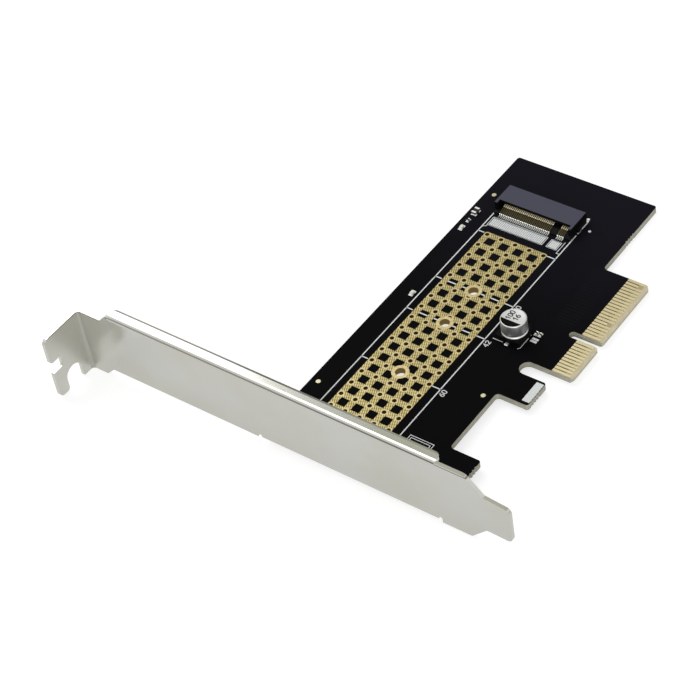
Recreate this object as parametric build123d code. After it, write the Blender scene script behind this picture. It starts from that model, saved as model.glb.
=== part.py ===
# An adapter card that carries an M.2 drive in a four-lane expansion slot.
# Frame: X runs along the card from the bracket to the far end, with 0 at the middle of
# the key notch. Y runs from the tips of the edge contacts, at 0, up to the bracket's
# screw tab. Z points out of the component side, whose face is at 0. Millimetres.
import os
from math import hypot, radians, tan

from build123d import *

# Circuit board
board_thickness = 1.6
board_left = -57.3
board_right = 46.75
board_top = 52.3
shoulder_y = 12.6            # the long lower edge, above the contacts
corner_radius = 0.6
inner_corner_radius = 1.0    # left by the router

# Edge connector
contact_pitch = 1.0
contacts_before_key = 11
contacts_after_key = 21
contact_width = 0.7
contact_top = 5.5            # where the solder mask starts
short_contact_cut = 1.4
short_contacts_top = (17, 31)
short_contacts_bottom = (1,)
gold_thickness = 0.05
key_width = 1.9
key_depth = 8.2
blade_margin = 0.15          # board beyond the last contact on each side
key_margin = 0.2             # board between the key notch and the next contact
blade_corner_radius = 1.0
key_corner_radius = 0.6
bevel_length = 0.75
bevel_angle = 30.0

# Retention hook beside the contacts
hook_slot_width = 3.95
hook_width = 7.8
hook_tip_y = 4.4

# Foot of the board at the bracket
foot_right = -42.45
foot_tip_y = 4.4

# Break-off marks left where the board was snapped out of its panel
bite_radius = 0.25
bite_sides = 6
bite_pitch = 1.0
bite_count = 4
bite_starts = ((32.6, shoulder_y), (-22.1, hook_tip_y), (-47.6, foot_tip_y))

# M.2 drive: the datum is the edge of the drive, pushed home in its socket
drive_datum_x = 31.1
drive_y = 35.45
drive_lengths = (30.0, 42.0, 60.0, 80.0)
drive_hole = 2.5
barrel_wall = 0.2            # the plating and the solder that thickens it
barrel_ring = 4.2

# Heat-spreading copper: a grid of bare gold with windows, stitched by vias
grid_pitch = 4.0
grid_columns = 5
grid_end_gap = 4.0           # least board beyond each end of the grid
grid_margin = 0.8
grid_corner_radius = 0.6
grid_window = 2.3
via_diameter = 1.05
via_sides = 6                # plain polygons, because there are so many

# Slot bracket, folded from sheet
sheet = 0.86
bracket_face_x = -58.95      # the outer face
bracket_width = 18.42
bracket_length = 119.42      # from the outer face of the tab to the tongue's tip
tab_outer_y = 104.7
tab_reach = 11.6             # from the outer face of the plate to the tab's free edge
tab_drop = 2.45              # the tab sits this much lower than the plate
step_lag_y = 2.2             # the lower edge steps down this much after the upper one
tab_bend_radius = 1.0
tongue_width = 10.4
tongue_low_z = 1.2
tongue_root_y = -8.2
tongue_low_fall = 0.3        # the tongue's edges fall towards its tip
tongue_top_fall = 0.7
tongue_radius = 1.4
plate_corner_radius = 0.8
shoulder_radius = 2.0        # where the plate slopes down to the tongue
heel_drop = 0.5              # the plate's lower edge steps down beside the tongue
heel_end_y = 3.5

# Screw notch and locating slot in the tab
notch_width = 5.0
notch_centre_x = -64.7
notch_top_z = 0.75
locating_slot_depth = 3.3
locating_slot_low_z = 3.0
locating_slot_height = 3.1
tab_corner_radius = 1.6
finger_corner_radius = 0.9
slot_corner_radius = 0.4

# Stiffening flange along the upper edge
flange_depth = 3.0
flange_radius = 1.1
flange_start_y = 3.6
flange_end_y = 94.6
flange_corner_radius = 1.5

# Lip along the lower edge that carries the board, with an ear for each screw
relief_width = 1.2           # of the notch cut at each end of the lip
relief_depth = 1.0
lip_end_y = 52.6
lip_reach = 4.4              # from the plate's outer face
lip_fold_radius = 0.4        # outside the fold
lip_inner_radius = 0.15
ear_centres_y = (10.0, 48.3)
ear_width = 7.6
ear_reach = 10.4             # from the plate's outer face
ear_corner_radius = 2.0
ear_screw_inset = 6.4        # from the plate's inner face
screw_diameter = 3.0
screw_clearance = 0.2        # on the radius, in the board
thread_clearance = 0.03      # on the radius, in the ear
screw_head_diameter = 5.6
screw_head_height = 1.9
screw_end = 0.8              # beyond the ear
screw_point = 0.4
screw_head_chamfer = 0.6
screw_recess_width = 1.0
screw_recess_length = 3.2
screw_recess_depth = 1.1

# M.2 socket
socket_end = 1.6             # beyond the middle of the outermost pins
socket_height = 3.1
socket_back = 34.05
socket_cap_front = 28.45
socket_arm_front = 27.1
socket_floor_front = 26.3
socket_arm_wall = 0.75
socket_cap_thickness = 0.75
socket_lip_height = 0.45
socket_floor_height = 1.05
socket_ramp_end = 27.9
peg_diameter = 1.2
peg_depth = 1.2
peg_clearance = 0.1
peg_x = 32.4
peg_inset = 1.6              # from each end of the socket
socket_pin_pitch = 0.5
socket_pin_width = 0.25
socket_pin_thickness = 0.12
lower_pin_shift = 0.25       # the two rows are half a pitch apart
upper_pin_counts = (29, 5)   # before and after the key, on the drive's upper side
lower_pin_counts = (29, 4)
key_pin_count = 4            # places that the key takes up
key_rib_width = 1.0
pin_setback = 0.35           # from the cap's front to the upper pins and the key
pin_bump = 0.5               # how far a lower pin rises over the floor
upper_pin_bump = 0.22        # how far an upper pin hangs below its run
tail_length = 0.85
pin_bump_x = 29.0
pin_bump_run = 0.75
hold_down_thickness = 0.2
hold_down_width = 1.3
hold_down_height = 1.1
hold_down_foot = 0.25
hold_down_x = 30.6

# Electrolytic capacitor
capacitor_x = -6.25
capacitor_y = 19.0
capacitor_diameter = 6.3
capacitor_height = 5.4
capacitor_base = 6.6
capacitor_base_height = 1.35
capacitor_base_chamfer = 1.3
capacitor_edge_radius = 0.35
capacitor_groove_depth = 0.18
capacitor_lip = 0.45          # from the can's foot to its crimp
capacitor_groove_height = 0.3
capacitor_lead_width = 0.7
capacitor_lead_thickness = 0.2
capacitor_lead_reach = 0.65  # beyond the base
capacitor_lead_root = 0.9    # from the middle of the base
capacitor_land_length = 2.4

# Solder lands and small chips
land_thickness = 0.05
land_margin = 0.15
chip_end_share = 0.25        # of a chip's length, under each end cap
chip_body_step = 0.04        # the end caps stand proud of the body
led_length, led_width, led_height = 1.6, 0.8, 0.6
led_carrier_height = 0.25
led_lens_inset = 0.3
led_lens_chamfer = 0.1
resistor_length, resistor_width, resistor_height = 1.0, 0.5, 0.35
chip_length, chip_width, chip_height = 2.0, 1.25, 0.85
led_places = ((18.2, 50.3), (-6.4, 47.8))
resistor_places = ((21.1, 50.3), (-3.75, 14.75), (-3.75, 13.75))
chip_place = (24.4, 50.3)
fiducial_diameter = 1.15
fiducial_places = ((-25.9, 14.8), (-40.4, 50.3), (31.9, 49.9))

# Worked out from the sizes above
key_half = key_width / 2
first_pad_x = key_half + key_margin + contact_width / 2
blade_one_left = -(first_pad_x + (contacts_before_key - 1) * contact_pitch
                   + contact_width / 2 + blade_margin)
blade_two_right = (first_pad_x + (contacts_after_key - 1) * contact_pitch
                   + contact_width / 2 + blade_margin)
hook_right = blade_one_left - hook_slot_width
hook_left = hook_right - hook_width
board_bottom_z = -board_thickness
drive_hole_xs = [drive_datum_x - length for length in drive_lengths]
socket_foot_x = socket_floor_front - tail_length - land_margin
grid_x = drive_hole_xs[2]    # one row of the grid goes through this hole
grid_end = grid_margin + grid_end_gap
grid_rows_left = int((grid_x - grid_end - board_left) // grid_pitch)
grid_rows_right = int((socket_foot_x - grid_end - grid_x) // grid_pitch)
grid_rows = grid_rows_left + 1 + grid_rows_right
grid_first_x = grid_x - grid_rows_left * grid_pitch
grid_last_x = grid_x + grid_rows_right * grid_pitch
grid_half_y = (grid_columns - 1) / 2 * grid_pitch

plate_inner_x = bracket_face_x + sheet
plate_low_z = board_bottom_z - sheet
plate_top_z = plate_low_z + bracket_width
tab_low_z = plate_low_z - tab_drop
tab_top_z = plate_top_z - tab_drop
tab_inner_y = tab_outer_y - sheet
tab_free_x = bracket_face_x - tab_reach
tongue_tip_y = tab_outer_y - bracket_length
screw_x = plate_inner_x + ear_screw_inset
lip_start_y = heel_end_y + relief_width
pin_places_count = sum(upper_pin_counts) + key_pin_count
first_pin_offset = (pin_places_count - 1) / 2 * socket_pin_pitch
socket_low_y = drive_y - first_pin_offset - socket_end
socket_high_y = drive_y + first_pin_offset + socket_end
mouth_top_z = socket_height - socket_cap_thickness
hole_places = [(x, drive_y) for x in drive_hole_xs]
peg_places = [(peg_x, socket_low_y + peg_inset), (peg_x, socket_high_y - peg_inset)]
capacitor_base_top = land_thickness + capacitor_base_height


def block(x0, x1, y0, y1, z0, z1):
    """A box between two corners."""
    return Pos((x0 + x1) / 2, (y0 + y1) / 2, (z0 + z1) / 2) * Box(x1 - x0, y1 - y0, z1 - z0)


def rectangle(x0, x1, y0, y1, radius=0.0):
    """A face in plan between two corners, with rounded corners where a radius is given."""
    place = Pos((x0 + x1) / 2, (y0 + y1) / 2)
    if radius:
        return place * RectangleRounded(x1 - x0, y1 - y0, radius)
    return place * Rectangle(x1 - x0, y1 - y0)


def slab(face, z0, z1):
    """A face in plan, given a thickness from z0 to z1."""
    return Pos(0, 0, z0) * extrude(face, z1 - z0)


def outline(points):
    """A face from its corners."""
    return make_face(Polyline(*points, close=True))


def across(face, y0, y1):
    """A face drawn in X and Z, given a width from y0 to y1."""
    return Pos(0, y1, 0) * extrude(Plane.XZ * face, y1 - y0)


def lengthwise(face, x0, x1):
    """A face drawn in Y and Z, given a length from x0 to x1."""
    return Pos(x0, 0, 0) * extrude(Plane.YZ * face, x1 - x0)


def rounded(face, radius, *corners):
    """A face with the named corners rounded."""
    for x, y in corners:
        corner = min(face.vertices(), key=lambda v: (v.X - x) ** 2 + (v.Y - y) ** 2)
        face = fillet(corner, radius)
    return face


def tie(solids):
    """Several separate solids as one node."""
    return Compound(children=list(solids))


def contact_places():
    """Each edge contact's number, counted from the bracket, and its middle in X."""
    before = [-first_pad_x - k * contact_pitch for k in reversed(range(contacts_before_key))]
    after = [first_pad_x + k * contact_pitch for k in range(contacts_after_key)]
    return list(enumerate(before + after, start=1))


def pin_places(groups, shift=0.0):
    """The middle in Y of each socket pin of one row, leaving out the key's places."""
    first = drive_y + first_pin_offset - shift
    after_key = groups[0] + key_pin_count
    steps = [*range(groups[0]), *range(after_key, after_key + groups[1])]
    return [first - step * socket_pin_pitch for step in steps]


def board_face():
    """The board in plan, with its blades, hook and foot, before its holes."""
    slot_radius = hook_slot_width / 2
    slot_x = (hook_right + blade_one_left) / 2
    face = rectangle(board_left, board_right, shoulder_y, board_top)
    face += rectangle(board_left, foot_right, foot_tip_y, board_top)
    face += rectangle(hook_left, blade_one_left, hook_tip_y, board_top)
    face += rectangle(blade_one_left, blade_two_right, 0, board_top)
    face -= rectangle(hook_right, blade_one_left, -1, shoulder_y - slot_radius)
    face -= Pos(slot_x, shoulder_y - slot_radius) * Circle(slot_radius)
    face -= rectangle(-key_half, key_half, -1, key_depth - key_half)
    face -= Pos(0, key_depth - key_half) * Circle(key_half)
    face = rounded(face, inner_corner_radius, (foot_right, shoulder_y),
                   (hook_left, shoulder_y), (blade_two_right, shoulder_y))
    face = rounded(face, blade_corner_radius, (blade_one_left, 0), (blade_two_right, 0))
    face = rounded(face, key_corner_radius, (-key_half, 0), (key_half, 0))
    return rounded(face, corner_radius, (foot_right, foot_tip_y), (hook_left, hook_tip_y),
                   (hook_right, hook_tip_y), (board_left, foot_tip_y),
                   (board_left, board_top), (board_right, board_top),
                   (board_right, shoulder_y))


def board_holes():
    """Every hole and break-off bite that goes right through the board."""
    for x, y in hole_places:
        yield Pos(x, y) * Circle(drive_hole / 2 + barrel_wall)
    for y in ear_centres_y:
        yield Pos(screw_x, y) * Circle(screw_diameter / 2 + screw_clearance)
    for x, y in peg_places:
        yield Pos(x, y) * Circle(peg_diameter / 2 + peg_clearance)
    for start_x, y in bite_starts:
        for k in range(bite_count):
            yield Pos(start_x + k * bite_pitch, y) * RegularPolygon(bite_radius, bite_sides)


def circuit_board():
    """The laminate, with both faces of its blades bevelled towards the tips."""
    board = slab(board_face() - list(board_holes()), board_bottom_z, 0)
    slope = tan(radians(bevel_angle))
    wedge = outline([(bevel_length, 0), (-1, -slope * (bevel_length + 1)), (-1, 0)])
    upper = lengthwise(wedge, blade_one_left - 1, blade_two_right + 1)
    lower = mirror(upper, about=Plane.XY.offset(board_bottom_z / 2))
    return board - upper - lower


def edge_contacts(z0, short_numbers):
    """One row of gold contacts, some of them short so that they mate last."""
    pads = []
    for number, x in contact_places():
        low = bevel_length + (short_contact_cut if number in short_numbers else 0)
        pads.append(block(x - contact_width / 2, x + contact_width / 2, low, contact_top,
                          z0, z0 + gold_thickness))
    return tie(pads)


def thermal_area():
    """The copper area behind the drive, in plan, open round each drive hole's ring."""
    half_y = grid_half_y + grid_margin
    face = rectangle(grid_first_x - grid_margin, grid_last_x + grid_margin,
                     drive_y - half_y, drive_y + half_y, grid_corner_radius)
    return face - [Pos(x, y) * Circle(barrel_ring / 2) for x, y in hole_places]


def thermal_grid():
    """The area on the component side: a grid with windows, and vias where its bars cross."""
    openings = []
    for i in range(grid_rows):
        for j in range(grid_columns):
            x = grid_first_x + i * grid_pitch
            y = drive_y - grid_half_y + j * grid_pitch
            if i < grid_rows - 1 and j < grid_columns - 1:
                middle = Pos(x + grid_pitch / 2, y + grid_pitch / 2)
                openings.append(middle * Rectangle(grid_window, grid_window))
            if all(hypot(x - hole_x, y - hole_y) > (barrel_ring + via_diameter) / 2
                   for hole_x, hole_y in hole_places):
                openings.append(Pos(x, y) * RegularPolygon(via_diameter / 2, via_sides))
    return slab(thermal_area() - openings, 0, gold_thickness)


def thermal_pad():
    """The area on the solder side, which is whole."""
    return slab(thermal_area(), board_bottom_z - gold_thickness, board_bottom_z)


def drive_hole_barrels():
    """The plated lining of each drive hole, with its ring on both faces of the board."""
    bore, ring = drive_hole / 2, barrel_ring / 2
    top, bottom = gold_thickness, board_bottom_z - gold_thickness
    section = [(bore, bottom), (ring, bottom), (ring, board_bottom_z),
               (bore + barrel_wall, board_bottom_z), (bore + barrel_wall, 0), (ring, 0),
               (ring, top), (bore, top)]
    barrel = revolve(Plane.XZ * outline(section), Axis.Z)
    return tie(Pos(x, y) * barrel for x, y in hole_places)


def plate_face():
    """The bracket seen square on, in Y and Z: tongue, plate, and the step to the tab."""
    tongue_top = tongue_low_z + tongue_width
    tip_low, tip_top = tongue_low_z - tongue_low_fall, tongue_top - tongue_top_fall
    slope_run = tongue_low_z - (plate_low_z - heel_drop)
    end_y = tab_outer_y + 1
    lower_step_y = flange_end_y + step_lag_y
    face = outline([
        (tongue_tip_y, tip_low), (tongue_root_y, tongue_low_z),
        (tongue_root_y + slope_run, plate_low_z - heel_drop),
        (heel_end_y, plate_low_z - heel_drop), (heel_end_y, plate_low_z),
        (lower_step_y, plate_low_z), (lower_step_y + tab_drop, tab_low_z),
        (end_y, tab_low_z), (end_y, tab_top_z), (flange_end_y + tab_drop, tab_top_z),
        (flange_end_y, plate_top_z), (tongue_root_y + plate_top_z - tongue_top, plate_top_z),
        (tongue_root_y, tongue_top), (tongue_tip_y, tip_top)])
    face = rounded(face, tongue_radius, (tongue_tip_y, tip_low), (tongue_tip_y, tip_top))
    face = rounded(face, shoulder_radius,
                   (tongue_root_y + plate_top_z - tongue_top, plate_top_z))
    relief_radius = relief_width / 2
    relief_z = plate_low_z + relief_depth - relief_radius
    for y in (heel_end_y + relief_radius, lip_end_y + relief_radius):
        face -= rectangle(y - relief_radius, y + relief_radius, plate_low_z - 1, relief_z)
        face -= Pos(y, relief_z) * Circle(relief_radius)
    return rounded(face, plate_corner_radius, (tongue_root_y, tongue_low_z),
                   (tongue_root_y + slope_run, plate_low_z - heel_drop),
                   (lower_step_y + tab_drop, tab_low_z))


def tab_face():
    """The tab seen along Y, in X and Z, with its screw notch and locating slot."""
    notch_radius = notch_width / 2
    left, right = notch_centre_x - notch_radius, notch_centre_x + notch_radius
    slot_end = tab_free_x + locating_slot_depth
    slot_top = locating_slot_low_z + locating_slot_height
    face = rectangle(tab_free_x, plate_inner_x + 1, tab_low_z, plate_top_z)
    face -= rectangle(tab_free_x - 1, bracket_face_x - tab_bend_radius,
                      tab_top_z, plate_top_z + 1)
    face -= rectangle(left, right, tab_low_z - 1, notch_top_z - notch_radius)
    face -= Pos(notch_centre_x, notch_top_z - notch_radius) * Circle(notch_radius)
    face -= rectangle(tab_free_x - 1, slot_end, locating_slot_low_z, slot_top)
    face = rounded(face, tab_corner_radius, (tab_free_x, tab_low_z), (tab_free_x, tab_top_z))
    face = rounded(face, finger_corner_radius, (tab_free_x, slot_top), (left, tab_low_z))
    return rounded(face, slot_corner_radius, (right, tab_low_z),
                   (tab_free_x, locating_slot_low_z), (slot_end, slot_top),
                   (slot_end, locating_slot_low_z))


def folded_sheet():
    """The plate with its tab folded out, before it is trimmed to its outline."""
    face = outline([
        (bracket_face_x, tongue_tip_y), (plate_inner_x, tongue_tip_y),
        (plate_inner_x, tab_outer_y), (tab_free_x, tab_outer_y),
        (tab_free_x, tab_inner_y), (bracket_face_x, tab_inner_y)])
    face = rounded(face, tab_bend_radius, (bracket_face_x, tab_inner_y))
    face = rounded(face, tab_bend_radius + sheet, (plate_inner_x, tab_outer_y))
    return slab(face, tab_low_z - 1, plate_top_z + 1)


def stiffening_flange():
    """The upper edge turned in along most of the plate."""
    low_z = plate_top_z - 2 * flange_radius
    free_x = bracket_face_x + flange_depth
    face = outline([
        (bracket_face_x, low_z), (bracket_face_x, plate_top_z), (free_x, plate_top_z),
        (free_x, plate_top_z - sheet), (plate_inner_x, plate_top_z - sheet),
        (plate_inner_x, low_z)])
    face = rounded(face, flange_radius, (bracket_face_x, plate_top_z))
    flange = across(face, flange_start_y, flange_end_y)
    corners = flange.edges().filter_by(Axis.Z).group_by(Axis.X)[-1]
    return fillet(corners, flange_corner_radius)


def mounting_lip():
    """The lower edge turned in under the board, with threaded holes in its two ears."""
    end_x = bracket_face_x + ear_reach
    section = outline([
        (bracket_face_x, plate_low_z), (end_x, plate_low_z), (end_x, board_bottom_z),
        (plate_inner_x, board_bottom_z), (plate_inner_x, plate_low_z + 2 * sheet),
        (bracket_face_x, plate_low_z + 2 * sheet)])
    section = rounded(section, lip_fold_radius, (bracket_face_x, plate_low_z))
    section = rounded(section, lip_inner_radius, (plate_inner_x, board_bottom_z))
    plan = rectangle(bracket_face_x - 1, bracket_face_x + lip_reach, lip_start_y, lip_end_y)
    for y in ear_centres_y:
        low_y, high_y = y - ear_width / 2, y + ear_width / 2
        ear = rectangle(bracket_face_x, end_x, low_y, high_y)
        plan += rounded(ear, ear_corner_radius, (end_x, low_y), (end_x, high_y))
    holes = [Pos(screw_x, y) * Circle(screw_diameter / 2 + thread_clearance)
             for y in ear_centres_y]
    return (across(section, lip_start_y, lip_end_y)
            & slab(plan - holes, plate_low_z - 1, plate_low_z + 3 * sheet))


def slot_bracket():
    """The bracket, folded from one sheet: tongue, plate, tab, flange, lip and ears."""
    bracket = folded_sheet()
    bracket &= lengthwise(plate_face(), tab_free_x - 1, plate_inner_x + 1)
    bracket &= across(tab_face(), tongue_tip_y - 1, tab_outer_y + 1)
    for y0, y1, z0, z1 in (
            (flange_start_y, flange_end_y, plate_top_z - flange_radius, plate_top_z + 1),
            (lip_start_y, lip_end_y, plate_low_z - 1, plate_low_z + sheet + lip_inner_radius)):
        bracket -= block(bracket_face_x - 1, plate_inner_x + 1, y0, y1, z0, z1)
    return bracket + stiffening_flange() + mounting_lip()


def bracket_screws():
    """Pan-head screws that go down through the board into the ears."""
    shank_end = plate_low_z - screw_end
    head_radius, shank = screw_head_diameter / 2, screw_diameter / 2
    section = outline([(0, shank_end), (shank - screw_point, shank_end),
                       (shank, shank_end + screw_point), (shank, 0), (head_radius, 0),
                       (head_radius, screw_head_height - screw_head_chamfer),
                       (head_radius - screw_head_chamfer, screw_head_height),
                       (0, screw_head_height)])
    screw = revolve(Plane.XZ * section, Axis.Z)
    for turn in (0, 90):
        recess = Rot(0, 0, turn) * Box(screw_recess_length, screw_recess_width,
                                       2 * screw_recess_depth)
        screw -= Pos(0, 0, screw_head_height) * recess
    return tie(Pos(screw_x, y) * screw for y in ear_centres_y)


def key_rib_y():
    """The middle of the socket's key, half way between the two groups of upper pins."""
    before_key = first_pin_offset - (upper_pin_counts[0] - 1) * socket_pin_pitch
    return drive_y + before_key - (key_pin_count + 1) * socket_pin_pitch / 2


def upper_pin_section():
    """A pin that runs under the socket's cap, out of its back and down to the board."""
    top, foot = mouth_top_z, land_thickness
    tip, back = socket_cap_front + pin_setback, socket_back
    thick = socket_pin_thickness
    return outline([
        (tip, top), (back + thick, top), (back + thick, foot + thick),
        (back + tail_length, foot + thick), (back + tail_length, foot), (back, foot),
        (back, top - thick), (pin_bump_x + pin_setback, top - thick),
        (pin_bump_x, top - thick - upper_pin_bump), (tip, top - thick)])


def lower_pin_section():
    """A pin that comes up the socket's lip, along its ramp and over in a sprung bump."""
    foot, thick = land_thickness, socket_pin_thickness
    front, floor = socket_floor_front, socket_floor_height
    end = pin_bump_x + pin_bump_run
    return outline([
        (front - tail_length, foot), (front, foot), (front, socket_lip_height),
        (socket_ramp_end, floor), (pin_bump_x, floor + pin_bump - thick), (end, floor),
        (end + thick, floor + thick), (pin_bump_x, floor + pin_bump),
        (socket_ramp_end - thick, floor + thick), (front - thick, socket_lip_height + thick),
        (front - thick, foot + thick), (front - tail_length, foot + thick)])


def pins(section, places):
    """A row of pins of one section."""
    half = socket_pin_width / 2
    return [across(section, y - half, y + half) for y in places]


def socket_housing():
    """The moulded socket: floor with a ramp, cap, arms, key, pegs and pin tunnels."""
    low_z, floor = land_thickness, socket_floor_height
    section = outline([
        (socket_floor_front, low_z), (socket_back, low_z), (socket_back, socket_height),
        (socket_cap_front, socket_height), (socket_cap_front, mouth_top_z),
        (drive_datum_x, mouth_top_z), (drive_datum_x, floor), (socket_ramp_end, floor),
        (socket_floor_front, socket_lip_height)])
    housing = across(section, socket_low_y, socket_high_y)
    for y in (socket_low_y, socket_high_y - socket_arm_wall):
        housing += block(socket_arm_front, socket_back, y, y + socket_arm_wall,
                         low_z, socket_height)
    rib_y = key_rib_y()
    housing += block(socket_cap_front + pin_setback, drive_datum_x, rib_y - key_rib_width / 2,
                     rib_y + key_rib_width / 2, floor, mouth_top_z)
    for x, y in peg_places:
        housing += Pos(x, y, (low_z - peg_depth) / 2) * Cylinder(peg_diameter / 2,
                                                                 low_z + peg_depth)
    half = socket_pin_width / 2
    tunnels = [block(drive_datum_x - 1, socket_back + 1, y - half, y + half,
                     mouth_top_z - socket_pin_thickness, mouth_top_z)
               for y in pin_places(upper_pin_counts)]
    return housing - tunnels


def socket_hold_downs():
    """Solder tabs that anchor the two ends of the socket."""
    x0, x1 = hold_down_x - hold_down_width / 2, hold_down_x + hold_down_width / 2
    z0, thick = land_thickness, hold_down_thickness
    tabs = []
    for end, out in ((socket_low_y, -1), (socket_high_y, 1)):
        upright = sorted((end, end + out * thick))
        foot = sorted((end, end + out * hold_down_foot))
        tabs.append(block(x0, x1, *upright, z0, hold_down_height)
                    + block(x0, x1, *foot, z0, z0 + thick))
    return tie(tabs)


def land(x0, x1, y0, y1):
    """A solder land under a foot, a margin larger than it all round."""
    margin = land_margin
    return block(x0 - margin, x1 + margin, y0 - margin, y1 + margin, 0, land_thickness)


def socket_lands():
    """A land under the foot of every socket pin and hold-down."""
    half = socket_pin_width / 2
    rows = ((pin_places(upper_pin_counts), socket_back),
            (pin_places(lower_pin_counts, lower_pin_shift), socket_floor_front - tail_length))
    lands = [block(x - land_margin, x + tail_length + land_margin, y - half, y + half,
                   0, land_thickness)
             for places, x in rows for y in places]
    x0, x1 = hold_down_x - hold_down_width / 2, hold_down_x + hold_down_width / 2
    lands.append(land(x0, x1, socket_low_y - hold_down_foot, socket_low_y - land_margin))
    lands.append(land(x0, x1, socket_high_y + land_margin, socket_high_y + hold_down_foot))
    return tie(lands)


def capacitor_can():
    """The can, crimped round near its foot, with a soft upper edge."""
    radius, low = capacitor_diameter / 2, capacitor_base_top
    groove_low = low + capacitor_lip
    groove_high = groove_low + capacitor_groove_height
    waist = radius - capacitor_groove_depth
    section = outline([
        (0, low), (radius, low), (radius, groove_low),
        (waist, (groove_low + groove_high) / 2), (radius, groove_high),
        (radius, capacitor_height), (0, capacitor_height)])
    section = rounded(section, capacitor_edge_radius, (radius, capacitor_height))
    can = revolve(Plane.XZ * section, Axis.Z)
    return Pos(capacitor_x, capacitor_y) * can


def capacitor_lead_blocks():
    """The two flat leads, running out from under the base along X."""
    half = capacitor_base / 2
    z0, z1 = land_thickness, land_thickness + capacitor_lead_thickness
    leads = []
    for out in (-1, 1):
        ends = sorted((out * capacitor_lead_root, out * (half + capacitor_lead_reach)))
        leads.append(block(*ends, -capacitor_lead_width / 2, capacitor_lead_width / 2, z0, z1))
    return [Pos(capacitor_x, capacitor_y) * lead for lead in leads]


def capacitor_base_block():
    """The moulded base, with the two corners beside the positive lead cut off."""
    half, cut = capacitor_base / 2, capacitor_base_chamfer
    face = outline([(-half, -half), (half - cut, -half), (half, cut - half),
                    (half, half - cut), (half - cut, half), (-half, half)])
    base = slab(Pos(capacitor_x, capacitor_y) * face, land_thickness, capacitor_base_top)
    return base - capacitor_lead_blocks()


def chip_parts(places, length, width, height):
    """Bodies and end caps of two-ended chips that lie along X."""
    end = chip_end_share * length
    z0 = land_thickness
    bodies, caps = [], []
    for x, y in places:
        y0, y1 = y - width / 2, y + width / 2
        bodies.append(block(x - length / 2 + end, x + length / 2 - end, y0, y1, z0,
                            z0 + height - chip_body_step))
        for start in (x - length / 2, x + length / 2 - end):
            caps.append(block(start, start + end, y0, y1, z0, z0 + height))
    return tie(bodies), tie(caps)


def led_parts():
    """Carriers, lenses and terminals of the indicator lights."""
    length, half = led_length, led_width / 2
    end = chip_end_share * length
    z0 = land_thickness
    carrier_top = z0 + led_carrier_height
    bases, lenses, terminals = [], [], []
    for x, y in led_places:
        x0, x1 = x - length / 2, x + length / 2
        bases.append(block(x0 + end, x1 - end, y - half, y + half, z0, carrier_top))
        for start in (x0, x1 - end):
            terminals.append(block(start, start + end, y - half, y + half, z0, carrier_top))
        lens = block(x0 + led_lens_inset, x1 - led_lens_inset, y - half, y + half,
                     carrier_top, z0 + led_height)
        top_edges = lens.edges().group_by(Axis.Z)[-1]
        lenses.append(chamfer(top_edges, led_lens_chamfer))
    return tie(bases), tie(lenses), tie(terminals)


def component_lands():
    """Lands under the capacitor's leads and under both ends of every chip."""
    lands = []
    for out in (-1, 1):
        start = capacitor_x + out * (capacitor_base / 2 + capacitor_lead_reach)
        ends = sorted((start, start - out * capacitor_land_length))
        half = capacitor_lead_width / 2
        lands.append(land(*ends, capacitor_y - half, capacitor_y + half))
    chips = ((led_places, led_length, led_width), ([chip_place], chip_length, chip_width),
             (resistor_places, resistor_length, resistor_width))
    for places, length, width in chips:
        end = chip_end_share * length
        for x, y in places:
            for start in (x - length / 2, x + length / 2 - end):
                lands.append(land(start, start + end, y - width / 2, y + width / 2))
    return tie(lands)


def fiducial_marks():
    """Bare copper dots that a placement machine sights on."""
    dot = slab(Circle(fiducial_diameter / 2), 0, gold_thickness)
    return tie(Pos(x, y) * dot for x, y in fiducial_places)


def nodes():
    """Every piece of the card by name."""
    under = board_bottom_z - gold_thickness
    led_bases, led_lenses, led_terminals = led_parts()
    resistor_bodies, resistor_caps = chip_parts(resistor_places, resistor_length,
                                                resistor_width, resistor_height)
    chip_body, chip_caps = chip_parts([chip_place], chip_length, chip_width, chip_height)
    return {
        "circuit_board": circuit_board(),
        "thermal_grid_top": thermal_grid(),
        "thermal_pad_bottom": thermal_pad(),
        "drive_hole_barrels": drive_hole_barrels(),
        "edge_contacts_top": edge_contacts(0, short_contacts_top),
        "edge_contacts_bottom": edge_contacts(under, short_contacts_bottom),
        "slot_bracket": slot_bracket(),
        "bracket_screws": bracket_screws(),
        "socket_housing": socket_housing(),
        "socket_upper_pins": tie(pins(upper_pin_section(), pin_places(upper_pin_counts))),
        "socket_lower_pins": tie(pins(lower_pin_section(),
                                      pin_places(lower_pin_counts, lower_pin_shift))),
        "socket_hold_downs": socket_hold_downs(),
        "socket_lands": socket_lands(),
        "capacitor_can": capacitor_can(),
        "capacitor_base": capacitor_base_block(),
        "capacitor_leads": tie(capacitor_lead_blocks()),
        "component_lands": component_lands(),
        "led_bases": led_bases,
        "led_lenses": led_lenses,
        "led_terminals": led_terminals,
        "resistor_bodies": resistor_bodies,
        "resistor_end_caps": resistor_caps,
        "chip_capacitor_body": chip_body,
        "chip_capacitor_end_caps": chip_caps,
        "fiducial_marks": fiducial_marks(),
    }


os.makedirs("parts", exist_ok=True)
for name, shape in nodes().items():
    export_step(shape, f"parts/{name}.step")
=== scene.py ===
# The looks of an adapter card that carries a drive: camera, light, and a finish or a finer
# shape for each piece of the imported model. Sizes are in millimetres, in the model's frame.
import math

import bpy
from mathutils import Matrix, Vector
from mathutils.geometry import delaunay_2d_cdt


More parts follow.
